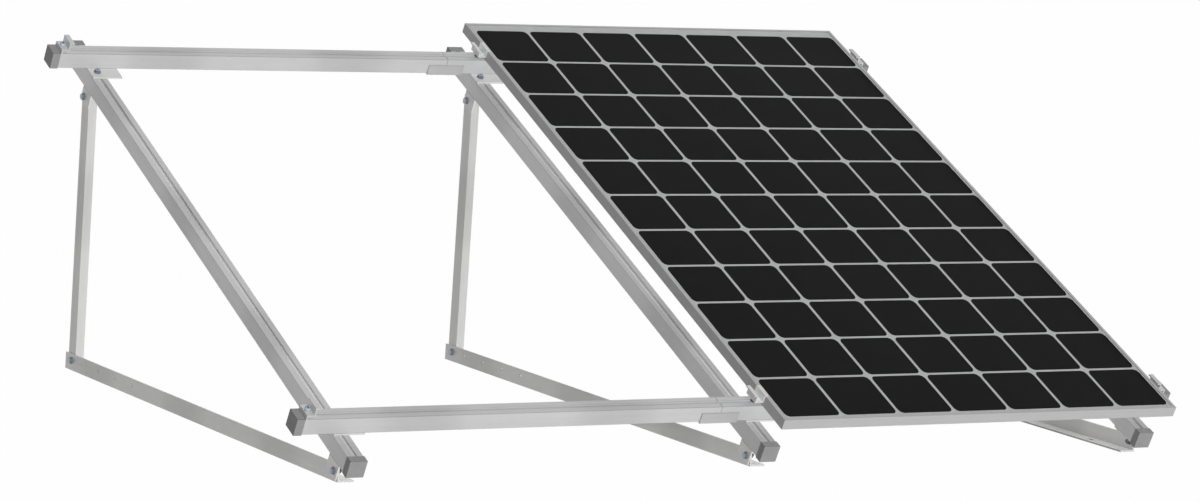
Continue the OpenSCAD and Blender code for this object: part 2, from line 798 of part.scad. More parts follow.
// Junction box under the rear sheet, near the panel's upper end, with two lead glands
module junction_box() {
    y = -panel_past - bar - box_past - box_l / 2;
    color("dimgray") on_panel() translate([panel_w / 2, y, laminate_bottom - box_h]) difference() {
        union() {
            translate([0, 0, box_lid_t]) linear_extrude(box_h - box_lid_t)
                rounded_rect(box_w, box_l, box_r);
            linear_extrude(box_lid_t) rounded_rect(box_w - box_r, box_l - box_r, box_r / 2);
            for (u = [-1, 1]) translate([u * box_w / 4, -box_l / 2, box_h / 2 + box_lid_t / 2])
                rotate([90, 0, 0]) cylinder(d = gland_d, h = gland_l, $fn = bore_fn);
        }
        for (u = [-1, 1]) translate([u * box_w / 4, -box_l / 2, box_h / 2 + box_lid_t / 2])
            rotate([90, 0, 0]) cylinder(d = gland_bore, h = gland_l + cut, $fn = bore_fn);
    }
}

base_rail(LEFT);  // base_rail_left
base_rail(MIDDLE);  // base_rail_middle
base_rail(RIGHT);  // base_rail_right
leg(LEFT);  // leg_left
leg(MIDDLE);  // leg_middle
leg(RIGHT);  // leg_right
strut(LEFT);  // strut_left
strut(MIDDLE);  // strut_middle
strut(RIGHT);  // strut_right
strut_bracket(LEFT, front_pivot_s, 1);  // front_bracket_left
strut_bracket(MIDDLE, front_pivot_s, 1);  // front_bracket_middle
strut_bracket(RIGHT, front_pivot_s, 1);  // front_bracket_right
strut_bracket(LEFT, top_pivot_s, -1);  // top_bracket_left
strut_bracket(MIDDLE, top_pivot_s, -1);  // top_bracket_middle
strut_bracket(RIGHT, top_pivot_s, -1);  // top_bracket_right
for (i = SUPPORTS) leg_spacer(i);  // leg_spacers
strut_cap_low(LEFT);  // strut_cap_low_left
strut_cap_low(MIDDLE);  // strut_cap_low_middle
strut_cap_low(RIGHT);  // strut_cap_low_right
strut_cap_top(LEFT);  // strut_cap_top_left
strut_cap_top(MIDDLE);  // strut_cap_top_middle
strut_cap_top(RIGHT);  // strut_cap_top_right
rail_left(0);  // upper_rail_left
rail_right(0);  // upper_rail_right
rail_left(1);  // lower_rail_left
rail_right(1);  // lower_rail_right
rail_cap_left(0);  // upper_rail_cap_left
rail_cap_right(0);  // upper_rail_cap_right
rail_cap_left(1);  // lower_rail_cap_left
rail_cap_right(1);  // lower_rail_cap_right
connector_plate(LEFT, 0);  // upper_plate_left
connector_plate(MIDDLE, 0);  // upper_plate_middle
connector_plate(RIGHT, 0);  // upper_plate_right
connector_plate(LEFT, 1);  // lower_plate_left
connector_plate(MIDDLE, 1);  // lower_plate_middle
connector_plate(RIGHT, 1);  // lower_plate_right
splice(0);  // upper_splice
splice(1);  // lower_splice
end_clamp_left(0);  // upper_end_clamp_left
end_clamp_right(0);  // upper_end_clamp_right
end_clamp_left(1);  // lower_end_clamp_left
end_clamp_right(1);  // lower_end_clamp_right
mid_clamp(0);  // upper_mid_clamp
mid_clamp(1);  // lower_mid_clamp
pivot_bolts();
pivot_nuts();
t_bolts();
t_bolt_nuts();
clamp_bolts();
clamp_lock_nuts();
clamp_t_nuts();
panel_frame_left();
panel_frame_right();
panel_frame_top();
panel_frame_bottom();
panel_glass();
panel_cells();
panel_rear_sheet();
junction_box();
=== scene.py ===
"""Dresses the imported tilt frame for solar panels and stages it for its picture."""

from __future__ import annotations

import json
import logging
import math
from dataclasses import dataclass
from enum import Enum
from typing import Callable, Sequence

import bmesh
import bpy
from bmesh.types import BMesh, BMFace, BMLayerItem
from bpy.types import Material, Node, NodeSocket, Object, World
from mathutils import Euler, Matrix, Vector

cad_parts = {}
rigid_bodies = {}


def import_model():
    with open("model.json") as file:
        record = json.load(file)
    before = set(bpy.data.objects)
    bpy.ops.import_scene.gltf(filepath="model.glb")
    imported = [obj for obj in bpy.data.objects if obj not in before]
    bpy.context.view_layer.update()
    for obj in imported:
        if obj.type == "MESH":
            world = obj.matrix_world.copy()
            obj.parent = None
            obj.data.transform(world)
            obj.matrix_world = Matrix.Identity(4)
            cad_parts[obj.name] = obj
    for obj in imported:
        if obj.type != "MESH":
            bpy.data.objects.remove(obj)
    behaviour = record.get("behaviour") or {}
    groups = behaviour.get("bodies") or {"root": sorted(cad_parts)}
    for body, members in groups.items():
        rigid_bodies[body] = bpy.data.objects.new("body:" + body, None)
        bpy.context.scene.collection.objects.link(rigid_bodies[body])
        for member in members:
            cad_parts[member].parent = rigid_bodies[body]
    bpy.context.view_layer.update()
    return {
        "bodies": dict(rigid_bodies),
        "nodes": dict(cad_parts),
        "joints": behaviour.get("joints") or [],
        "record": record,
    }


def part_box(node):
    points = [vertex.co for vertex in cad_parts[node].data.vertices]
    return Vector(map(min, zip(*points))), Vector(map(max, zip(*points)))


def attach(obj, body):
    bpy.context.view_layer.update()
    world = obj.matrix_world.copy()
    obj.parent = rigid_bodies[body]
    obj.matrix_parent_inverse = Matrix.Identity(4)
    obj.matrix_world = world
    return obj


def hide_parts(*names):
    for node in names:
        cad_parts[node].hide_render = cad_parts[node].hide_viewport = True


LOG = logging.getLogger("tilt_frame")
# Metres in a millimetre
MM = 0.001
# Slope of the struts
TILT = math.radians(24.5)
# Unit directions along the cross rails and square to the slope
RAIL_WAY = Vector((1.0, 0.0, 0.0))
SLOPE_UP = Matrix.Rotation(TILT, 3, "X") @ Vector((0.0, 0.0, 1.0))
# Distance within which vertices are one, and play where places are compared
MERGE = 0.001 * MM
PLAY = 0.1 * MM
# Least cosine between a face's normal and a direction that it looks along
ALONG = 0.99
# Face attribute of painted shading: how much darker a face is than its finish as painted shade, and below
# zero how much brighter as painted light
PAINTED_SHADING = "soil"
# Triple of the sky and of what the camera sees of the floor
WHITE = (1.0, 1.0, 1.0, 1.0)
# Part of a noise's range that is spread over a finish
NOISE_RANGE = (0.3, 0.7)
# Radians of a wave texture's sine in one unit of its coordinate
WAVE_UNIT = 20.0

Pair = tuple[float, float]
Triple = tuple[float, float, float]


class Grain(Enum):
    """Direction in which a piece was drawn or rolled, and so its brushed lines."""

    RAIL = "along the cross rails"
    SLOPE = "down the slope"
    GROUND = "along the base rails"
    UPRIGHT = "up the legs"


@dataclass(frozen=True)
class Pattern:
    """A noise, stretched along the grain.

    Attributes:
        along: Repeats a metre along the grain.
        across: Repeats a metre across the grain.
        detail: Octaves of the noise.
    """

    along: float
    across: float
    detail: float = 3.0


@dataclass(frozen=True)
class Wave:
    """Soft dips in the brightness of a long bar.

    Attributes:
        length: Distance from dip to dip, in metres.
        place: Place of one dip along the grain, in metres.
        depth: How much darker a dip is.
        high: Brightness between the dips.
        crest: Share of the sine wave's height above which the brightness is even.
    """

    length: float = 0.5
    place: float = -0.875
    depth: float = 0.125
    high: float = 0.985
    crest: float = 0.6


class Shader:
    """Builds the nodes of one material or world."""

    def __init__(self, owner: Material | World, output: str = "OutputMaterial") -> None:
        """Starts with nothing but the output.

        Args:
            owner: The new material or world.
            output: Type of its output node, without its ShaderNode prefix.
        """
        owner.use_nodes = True
        self.owner = owner
        self.tree = owner.node_tree
        self.tree.nodes.clear()
        self.output = self.add(output)

    def add(self, kind: str, inputs: dict | None = None, **settings) -> Node:
        """Adds a node.

        Args:
            kind: Node type without its ShaderNode prefix.
            inputs: Socket name or number to a value or to a socket that is linked.
            settings: Properties of the node itself.

        Returns:
            The new node.
        """
        node = self.tree.nodes.new("ShaderNode" + kind)
        for key, value in settings.items():
            setattr(node, key, value)
        for key, value in (inputs or {}).items():
            if isinstance(value, NodeSocket):
                self.tree.links.new(value, node.inputs[key])
            else:
                node.inputs[key].default_value = value
        return node

    def drawn(self, grain: Grain) -> NodeSocket:
        """Returns Object coordinates turned so that x runs along the grain.

        Args:
            grain: Direction of the grain.

        Returns:
            A vector socket in metres.
        """
        coordinates = self.add("TexCoord").outputs["Object"]
        turns = {
            Grain.RAIL: (-TILT, 0.0, 0.0),
            Grain.SLOPE: (-TILT, 0.0, 0.0),
            Grain.GROUND: (0.0, 0.0, math.pi / 2),
            Grain.UPRIGHT: (0.0, math.pi / 2, 0.0),
        }
        turned = self.add("Mapping", {"Vector": coordinates, "Rotation": turns[grain]}).outputs[0]
        if grain is Grain.SLOPE:
            turned = self.add("Mapping", {"Vector": turned, "Rotation": (0.0, 0.0, math.pi / 2)}).outputs[0]
        return turned

    def noise(self, vector: NodeSocket, pattern: Pattern) -> NodeSocket:
        """Adds fractal noise and returns its value.

        Args:
            vector: Coordinates in metres, with x along the grain.
            pattern: The noise's scales and octaves.

        Returns:
            The noise's factor socket.
        """
        scale = (pattern.along, pattern.across, pattern.across)
        scaled = self.add("Mapping", {"Vector": vector, "Scale": scale}).outputs[0]
        inputs = {"Vector": scaled, "Scale": 1.0, "Detail": pattern.detail}
        return self.add("TexNoise", inputs).outputs["Fac"]

    def spread(self, value: NodeSocket, low: float, high: float) -> NodeSocket:
        """Maps the middle of a noise to a range.

        Args:
            value: Noise between 0 and 1.
            low: Result where the noise is weak.
            high: Result where the noise is strong.

        Returns:
            The mapped socket.
        """
        start, end = NOISE_RANGE
        inputs = {"Value": value, "From Min": start, "From Max": end, "To Min": low, "To Max": high}
        return self.add("MapRange", inputs, clamp=True).outputs[0]

    def waved(self, vector: NodeSocket, wave: Wave) -> NodeSocket:
        """Returns a brightness that dips softly at even steps along the grain.

        Args:
            vector: Coordinates with x along the grain, in metres.
            wave: Length, place and depth of the dips.

        Returns:
            The brightness socket.
        """
        turns = 2 * math.pi / wave.length
        bands = self.add("TexWave", {
            "Vector": vector, "Scale": turns / WAVE_UNIT, "Phase Offset": -turns * wave.place,
        }, wave_type="BANDS", bands_direction="X", wave_profile="SIN").outputs["Fac"]
        inputs = {
            "Value": bands, "From Min": 0.0, "From Max": wave.crest,
            "To Min": wave.high - wave.depth, "To Max": wave.high,
        }
        return self.add("MapRange", inputs, interpolation_type="SMOOTHSTEP").outputs[0]

    def with_painted_shading(self, level: NodeSocket) -> NodeSocket:
        """Returns a brightness with the painted shade that a piece's faces carry, brighter as painted light
        where it is below zero.
        """
        soil = self.add("Attribute", attribute_name=PAINTED_SHADING).outputs["Fac"]
        return self.product(level, self.add("Math", {0: 1.0, 1: soil}, operation="SUBTRACT").outputs[0])

    def product(self, one: NodeSocket, other: NodeSocket | float) -> NodeSocket:
        """Returns the product of two values."""
        return self.add("Math", {0: one, 1: other}, operation="MULTIPLY").outputs[0]

    def tinted(self, value: NodeSocket, colour: Triple) -> NodeSocket:
        """Returns a linear colour multiplied by a value."""
        return self.add("VectorMath", {0: colour, "Scale": value}, operation="SCALE").outputs[0]

    def finish(self, shader: Node) -> Material | World:
        """Links the surface and returns the finished material or world."""
        self.tree.links.new(shader.outputs[0], self.output.inputs["Surface"])
        return self.owner


@dataclass(frozen=True)
class MillAluminium:
    """Extruded or rolled aluminium with faint lengthwise die lines and bands.

    Attributes:
        name: The material's name.
        grain: Direction of the die lines.
        tone: Linear colour.
        metallic: How much of the surface answers as bare metal.
        roughness: Middle of its roughness.
        rough_spread: How far the roughness varies.
        gloss: Specular level of the oxide skin.
        banding: How far the tone varies between bands.
        mottling: How far it varies between lines and between blotches.
        line_height: Height of the die lines, in metres.
        line_strength: Share of that height that is seen.
        bands: Noise of the bands.
        lines: Noise of the die lines.
        blotches: Noise of the blotches.
        wave: Dips along the bar, if it is long.
    """

    name: str
    grain: Grain
    tone: Triple = (0.58, 0.58, 0.58)
    metallic: float = 0.22
    roughness: float = 0.45
    rough_spread: float = 0.07
    gloss: float = 0.15
    banding: float = 0.04
    mottling: float = 0.015
    line_height: float = 0.00002
    line_strength: float = 0.6
    bands: Pattern = Pattern(0.7, 75.0)
    lines: Pattern = Pattern(6.0, 900.0, 4.0)
    blotches: Pattern = Pattern(22.0, 40.0)
    wave: Wave | None = None

    def build(self) -> Material:
        """Returns the new material."""
        s = Shader(bpy.data.materials.new(self.name))
        drawn = s.drawn(self.grain)
        bands = s.noise(drawn, self.bands)
        lines = s.noise(drawn, self.lines)
        blotches = s.noise(drawn, self.blotches)
        level = s.spread(bands, 1.0 - self.banding, 1.0 + self.banding)
        fine = s.spread(lines, 1.0 - self.mottling, 1.0 + self.mottling)
        patch = s.spread(blotches, 1.0 - self.mottling, 1.0 + self.mottling)
        level = s.product(s.product(level, fine), patch)
        if self.wave:
            level = s.product(level, s.waved(drawn, self.wave))
        level = s.with_painted_shading(level)
        rough = s.spread(lines, self.roughness - self.rough_spread, self.roughness + self.rough_spread)
        relief = {"Height": lines, "Distance": self.line_height, "Strength": self.line_strength}
        return s.finish(s.add("BsdfPrincipled", {
            "Base Color": s.tinted(level, self.tone), "Roughness": rough,
            "Normal": s.add("Bump", relief).outputs[0],
            "Metallic": self.metallic, "Specular IOR Level": self.gloss,
        }))


@dataclass(frozen=True)
class MouldedPlastic:
    """Moulded plastic with a fine eroded grain.

    Attributes:
        name: The material's name.
        tone: Linear colour.
        roughness: Middle of its roughness.
        rough_spread: How far the roughness varies.
        gloss: Specular level.
        levels: Least and most brightness of its clouds.
        grain_height: Height of the grain, in metres.
        grain_strength: Share of that height that is seen.
        grain: Noise of the grain.
        clouds: Noise of the clouds.
    """

    name: str
    tone: Triple
    roughness: float = 0.6
    rough_spread: float = 0.06
    gloss: float = 0.12
    levels: Pair = (0.95, 1.05)
    grain_height: float = 0.00004
    grain_strength: float = 0.5
    grain: Pattern = Pattern(1500.0, 1500.0, 2.0)
    clouds: Pattern = Pattern(30.0, 30.0)

    def build(self) -> Material:
        """Returns the new material."""
        s = Shader(bpy.data.materials.new(self.name))
        place = s.add("TexCoord").outputs["Object"]
        grain = s.noise(place, self.grain)
        level = s.with_painted_shading(s.spread(s.noise(place, self.clouds), *self.levels))
        rough = s.spread(grain, self.roughness - self.rough_spread, self.roughness + self.rough_spread)
        relief = {"Height": grain, "Distance": self.grain_height, "Strength": self.grain_strength}
        return s.finish(s.add("BsdfPrincipled", {
            "Base Color": s.tinted(level, self.tone), "Roughness": rough,
            "Normal": s.add("Bump", relief).outputs[0],
            "Specular IOR Level": self.gloss,
        }))


@dataclass(frozen=True)
class ZincPlate:
    """Zinc plating with a cool cast and slight blotches.

    Attributes:
        name: The material's name.
        tone: Linear colour.
        metallic: How much of the surface answers as bare metal.
        roughness: Least and most roughness.
        levels: Least and most brightness.
        blotches: Noise of the blotches.
    """

    name: str
    tone: Triple = (0.485, 0.56, 0.64)
    metallic: float = 0.1
    roughness: Pair = (0.24, 0.42)
    levels: Pair = (0.88, 1.08)
    blotches: Pattern = Pattern(260.0, 260.0)

    def build(self) -> Material:
        """Returns the new material."""
        s = Shader(bpy.data.materials.new(self.name))
        blotches = s.noise(s.add("TexCoord").outputs["Object"], self.blotches)
        level = s.with_painted_shading(s.spread(blotches, *self.levels))
        return s.finish(s.add("BsdfPrincipled", {
            "Base Color": s.tinted(level, self.tone), "Metallic": self.metallic,
            "Roughness": s.spread(blotches, *self.roughness),
        }))


@dataclass(frozen=True)
class SiliconCell:
    """Nearly black silicon with faint clouds and the sheen of the glass over it.

    Attributes:
        name: The material's name.
        tone: Linear colour.
        sheen: Strength of the reflection.
        roughness: Spread of the reflection.
        levels: Least and most brightness of the clouds.
        clouds: Noise of the clouds.
    """

    name: str
    tone: Triple = (0.0105, 0.0105, 0.0106)
    sheen: float = 0.01
    roughness: float = 0.3
    levels: Pair = (0.94, 1.06)
    clouds: Pattern = Pattern(4.0, 4.0)

    def build(self) -> Material:
        """Returns the new material."""
        s = Shader(bpy.data.materials.new(self.name))
        level = s.spread(s.noise(s.drawn(Grain.RAIL), self.clouds), *self.levels)
        return s.finish(s.add("BsdfPrincipled", {
            "Base Color": s.tinted(level, self.tone), "Roughness": self.roughness,
            "Specular IOR Level": self.sheen,
        }))


@dataclass(frozen=True)
class ClearGlass:
    """Coated panel glass, which light passes straight through.

    The cells under it carry its weak reflection, so the picture stays free of grain.

    Attributes:
        name: The material's name.
        tone: Share of light let through, in each colour.
        levels: Least and most of that share across the sheet.
        ripple: Noise of the sheet.
    """

    name: str
    tone: Triple = (0.995, 1.0, 0.998)
    levels: Pair = (0.982, 0.99)
    ripple: Pattern = Pattern(12.0, 12.0, 2.0)

    def build(self) -> Material:
        """Returns the new material."""
        s = Shader(bpy.data.materials.new(self.name))
        level = s.spread(s.noise(s.add("TexCoord").outputs["Object"], self.ripple), *self.levels)
        return s.finish(s.add("BsdfTransparent", {"Color": s.tinted(level, self.tone)}))


def build_finishes() -> dict[str, Material]:
    """Makes every finish once.

    Returns:
        Finish name to material.
    """
    angle_tone = (0.575, 0.572, 0.565)
    frame = {"tone": (0.455, 0.455, 0.455), "metallic": 0.03, "banding": 0.01}
    finishes = (
        MillAluminium("rail_metal", Grain.RAIL, banding=0.025, wave=Wave()),
        MillAluminium("rail_metal_right", Grain.RAIL, tone=(0.572, 0.575, 0.58), banding=0.025,
                      wave=Wave()),
        MillAluminium("strut_metal", Grain.SLOPE, banding=0.025,
                      wave=Wave(place=-0.8, high=1.02, depth=0.14)),
        MillAluminium("base_metal", Grain.GROUND, tone=angle_tone, gloss=0.8, banding=0.025,
                      wave=Wave(place=-0.053, high=1.04, depth=0.16)),
        MillAluminium("leg_metal", Grain.UPRIGHT, tone=angle_tone, banding=0.025,
                      wave=Wave(place=0.404, high=1.02, depth=0.12)),
        MillAluminium("bracket_metal", Grain.SLOPE, tone=(0.7, 0.696, 0.688), gloss=0.2),
        MillAluminium("plate_metal", Grain.RAIL, tone=(0.69, 0.69, 0.69)),
        MillAluminium("splice_metal", Grain.RAIL, tone=(0.48, 0.48, 0.48)),
        MillAluminium("end_clamp_metal", Grain.SLOPE, tone=(0.59, 0.59, 0.59)),
        MillAluminium("mid_clamp_metal", Grain.SLOPE, tone=(0.68, 0.675, 0.665)),
        MillAluminium("frame_metal_rail", Grain.RAIL, **frame),
        MillAluminium("frame_metal_slope", Grain.SLOPE, **frame),
        MouldedPlastic("cap_plastic", (0.285, 0.285, 0.285)),
        MouldedPlastic("box_plastic", (0.02, 0.02, 0.021)),
        MouldedPlastic("rear_sheet", (0.53, 0.53, 0.53), roughness=0.5),
        ZincPlate("zinc"),
        # Zinc with painted shade, for nuts that sit in shade under clamps and beside the caps
        ZincPlate("dark_zinc", tone=(0.085, 0.095, 0.11)),
        SiliconCell("silicon"),
        ClearGlass("panel_glass"),
    )
    return {finish.name: finish.build() for finish in finishes}


def place(name: str, bm: BMesh, finish: Material) -> Object:
    """Turns a finished mesh into an object.

    Args:
        name: The object's name.
        bm: Its mesh in metres, which is freed.
        finish: Its finish.

    Returns:
        The new object.
    """
    mesh = bpy.data.meshes.new(name)
    bm.to_mesh(mesh)
    bm.free()
    mesh.materials.append(finish)
    thing = bpy.data.objects.new(name, mesh)
    bpy.context.collection.objects.link(thing)
    return thing


def add_piece(node: str, bm: BMesh, finish: Material) -> None:
    """Places the piece that stands for a CAD node.

    Args:
        node: The node's name.
        bm: The piece's mesh, which is freed.
        finish: Its finish.
    """
    bmesh.ops.recalc_face_normals(bm, faces=bm.faces)
    piece = place(node + "_shown", bm, finish)
    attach(piece, "root")
    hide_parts(node)
    LOG.info("%s: %d faces", piece.name, len(piece.data.polygons))


def painted_shading_layer(bm: BMesh) -> BMLayerItem:
    """Returns the attribute of painted shade that darkens a mesh's faces, and brightens them as painted
    light below zero.
    """
    return bm.faces.layers.float.get(PAINTED_SHADING) or bm.faces.layers.float.new(PAINTED_SHADING)


@dataclass(frozen=True)
class EdgeWork:
    """Breaks the sharp edges of a CAD solid, as sawing, stamping or moulding leaves them.

    Attributes:
        width: Width of the broken edge, in mm.
        segments: Steps across it.
        sharp: Smallest angle of an edge that is broken, in degrees.
        bend: Least and most angle within a bore or bend, in degrees. Flatter edges go.
        slim: Widest face that still counts as an edge, in mm.
        narrow: Widest face of a bore or bend, which is shaded smooth, in mm.
        soil: Painted shade on an edge, how much darker it is than its faces.
    """

    width: float = 0.5
    segments: int = 2
    sharp: float = 35.0
    bend: Pair = (1.0, 16.0)
    slim: float = 0.75
    narrow: float = 2.5
    # Painted shade of the broken edges
    soil: float = 0.45

    def apply(self, solid: Object) -> BMesh:
        """Copies a CAD node's mesh and breaks its edges.

        Args:
            solid: The node's object, which is left as it is.

        Returns:
            The new mesh with its edges marked.
        """
        bm = bmesh.new()
        bm.from_mesh(solid.data)
        for layer in list(bm.loops.layers.uv):
            bm.loops.layers.uv.remove(layer)
        bmesh.ops.remove_doubles(bm, verts=bm.verts, dist=MERGE)
        flat = math.radians(self.bend[0])
        bmesh.ops.dissolve_limit(bm, angle_limit=flat, verts=bm.verts, edges=bm.edges)
        limit = math.radians(self.sharp)
        edges = [e for e in bm.edges if len(e.link_faces) == 2 and e.calc_face_angle(0.0) > limit]
        bmesh.ops.bevel(bm, geom=edges, offset=self.width * MM, offset_type="OFFSET", affect="EDGES",
                        segments=self.segments, profile=0.5, clamp_overlap=True, material=-1)
        self.mark(bm)
        return bm

    def mark(self, bm: BMesh) -> None:
        """Paints shade on slim faces as edges and rounds the shading of edges and bores.

        Args:
            bm: The mesh.
        """
        layer = painted_shading_layer(bm)
        least, most = (math.radians(angle) for angle in self.bend)
        for face in bm.faces:
            width = face.calc_area() / max(e.calc_length() for e in face.edges)
            angles = [e.calc_face_angle(0.0) for e in face.edges if len(e.link_faces) == 2]
            bends = sum(least < angle < most for angle in angles)
            slim = width < self.slim * MM
            # Slim faces get painted shade as dark edge lines
            face[layer] = self.soil if slim else 0.0
            face.smooth = slim or (bends > 1 and width < self.narrow * MM)


@dataclass
class Group:
    """A group of CAD nodes.

    Attributes:
        finishes: Finish name to material.
        nodes: CAD node name to object.
    """

    finishes: dict[str, Material]
    nodes: dict[str, Object]

    def dress(self, node: str, finish: str) -> Material:
        """Puts a finish on a CAD node.

        Args:
            node: The node's name.
            finish: The finish's name.

        Returns:
            The finish.
        """
        slots = self.nodes[node].data.materials
        slots.clear()
        slots.append(self.finishes[finish])
        LOG.info("%s: %s", node, finish)
        return self.finishes[finish]


@dataclass
class Assembly(Group):
    """CAD solids that keep their shape and get broken edges and a finish.

    Attributes:
        starts: Beginnings of the names of the group's nodes, in order.
        finish: The finish of most of the group.
        edge: How the sharp edges are broken.
        slot: The record's material slot; not used.
    """

    starts: tuple[str, ...] = ()
    finish: str = "plate_metal"
    edge: EdgeWork = EdgeWork()
    slot: str = "plate"

    def finish_of(self, node: str) -> str:
        """Names the finish of one node of the group."""
        return self.finish

    def painted_shading_of(self, node: str, face: BMFace, at: Vector) -> float | None:
        """Returns a face's painted shade, below zero painted light, or None; most groups leave that to
        their edges.
        """
        return None

    def reshape(self, bm: BMesh) -> None:
        """Changes the shape of a piece; most groups keep it."""

    def build(self) -> None:
        """Builds one piece for each node of the group."""
        for start in self.starts:
            for node in sorted(name for name in self.nodes if name.startswith(start)):
                self.build_piece(node)

    def build_piece(self, node: str) -> None:
        """Builds the piece of one node.

        Args:
            node: The CAD node's name.
        """
        bm = self.edge.apply(self.nodes[node])
        self.reshape(bm)
        layer = painted_shading_layer(bm)
        low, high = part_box(node)
        for face in bm.faces:
            face.normal_update()
            # Painted shade, or painted light below zero, from the group's rule
            soil = self.painted_shading_of(node, face, face.calc_center_median() - (low + high) / 2)
            if soil is not None:
                face[layer] = soil
        add_piece(node, bm, self.dress(node, self.finish_of(node)))


@dataclass
class BaseRails(Assembly):
    """The three base rails, angles with sawn ends, drilled holes and a flat flange with painted light on
    its top.

    Attributes:
        flange_top: Height of the flange's top face, in mm.
        flange_painted_light: Painted light on the flange's top, as how much darker it is than the web;
            below zero it is brighter.
        right_flange_painted_light: The same for the right rail's flange, which lies in the panel's shade.
        flange_edge_painted_shade: Painted shade on the flange's outer edge, in the same measure.
        right_web_painted_light: Painted light on the right rail's web, in the same measure.
    """

    starts: tuple[str, ...] = ("base_rail_",)
    finish: str = "base_metal"
    slot: str = "angle"
    flange_top: float = 4.0
    # Painted light on the flange tops and the right web; painted shade on the flange edge
    flange_painted_light: float = -0.55
    right_flange_painted_light: float = -0.73
    flange_edge_painted_shade: float = 0.45
    right_web_painted_light: float = -0.07

    def painted_shading_of(self, node: str, face: BMFace, at: Vector) -> float | None:
        """Paints light on the top of the flange and on the right rail's web, and paints shade on the
        flange's outer edge.

        Args:
            node: The base rail's node.
            face: The face.
            at: Its middle, from the middle of the node's box.

        Returns:
            The painted shade, below zero painted light, or None to leave the face as it is.
        """
        is_right = node.endswith("right")
        is_low = max(v.co.z for v in face.verts) < self.flange_top * MM + PLAY
        if is_low and face.normal.z > ALONG:
            return self.right_flange_painted_light if is_right else self.flange_painted_light
        if abs(face.normal.x) > ALONG:
            if is_low:
                return self.flange_edge_painted_shade
            if is_right:
                return self.right_web_painted_light
        return None


@dataclass
class Legs(Assembly):
    """The three upright legs.

    Attributes:
        side_painted_light: Painted light on the legs' sides, as how much darker they are; below zero they
            are brighter.
    """

    starts: tuple[str, ...] = ("leg_left", "leg_middle", "leg_right")
    finish: str = "leg_metal"
    slot: str = "angle"
    # Painted light on the legs' sides
    side_painted_light: float = -0.13

    def painted_shading_of(self, node: str, face: BMFace, at: Vector) -> float | None:
        """Paints light on the sides of a leg's web."""
        return self.side_painted_light if abs(face.normal.x) > ALONG else None


@dataclass
class StrutBrackets(Assembly):
    """The short angles under the struts."""

    starts: tuple[str, ...] = ("front_bracket_", "top_bracket_")
    finish: str = "bracket_metal"
    slot: str = "angle"


@dataclass
class SlottedBars(Assembly):
    """Struts and cross rails, with crisp slots and a channel behind their lips.

    Attributes:
        bar: Side of the bar, in mm.
        lip_t: Thickness of the lips, in mm.
        channel_w: Width of the channel behind the lips, in mm.
        rail_channel_painted_shade: Painted shade in a cross rail's channel, how much darker it is than its
            outside.
        strut_channel_painted_light: The same for a strut, where it is painted light; below zero the channel
            is brighter.
        side_painted_light: The same for the sides of the struts, painted light.
    """

    starts: tuple[str, ...] = ("strut_left", "strut_middle", "strut_right", "upper_rail_left",
                               "upper_rail_right", "lower_rail_left", "lower_rail_right")
    finish: str = "rail_metal"
    edge: EdgeWork = EdgeWork(segments=1, soil=0.4)
    slot: str = "bar"
    bar: float = 40.0
    lip_t: float = 5.0
    channel_w: float = 20.0
    # Painted shade in the rails' channels; painted light in the struts' channels and on their sides
    rail_channel_painted_shade: float = 0.2
    strut_channel_painted_light: float = -0.25
    side_painted_light: float = -0.13

    def finish_of(self, node: str) -> str:
        """Names the finish of a strut, or of the left or right rail lengths."""
        if node.startswith("strut"):
            return "strut_metal"
        return self.finish + "_right" if node.endswith("right") else self.finish

    def painted_shading_of(self, node: str, face: BMFace, at: Vector) -> float | None:
        """Paints shade into a cross rail's channel behind the lips, and light into a strut's channel and
        sides.

        Args:
            node: The bar's node.
            face: The face.
            at: Its middle, from the middle of the node's box.

        Returns:
            The painted shade, below zero painted light, or None to leave the face as it is.
        """
        is_strut = node.startswith("strut")
        flat = Matrix.Rotation(-TILT, 3, "X") @ at
        deep = (self.bar / 2 - self.lip_t) * MM - PLAY
        reach = self.channel_w / 2 * MM + PLAY
        if abs(flat.z) < deep and abs(flat.x if is_strut else flat.y) < reach:
            return self.strut_channel_painted_light if is_strut else self.rail_channel_painted_shade
        if is_strut and abs(face.normal.x) > ALONG:
            return self.side_painted_light
        return None


@dataclass
class JoiningPlates(Assembly):
    """Connector plates and splice angles."""

    starts: tuple[str, ...] = ("lower_plate_", "lower_splice", "upper_plate_", "upper_splice")

    def finish_of(self, node: str) -> str:
        """Names the finish of a plate or the duller one of a splice."""
        return "splice_metal" if node.endswith("splice") else self.finish


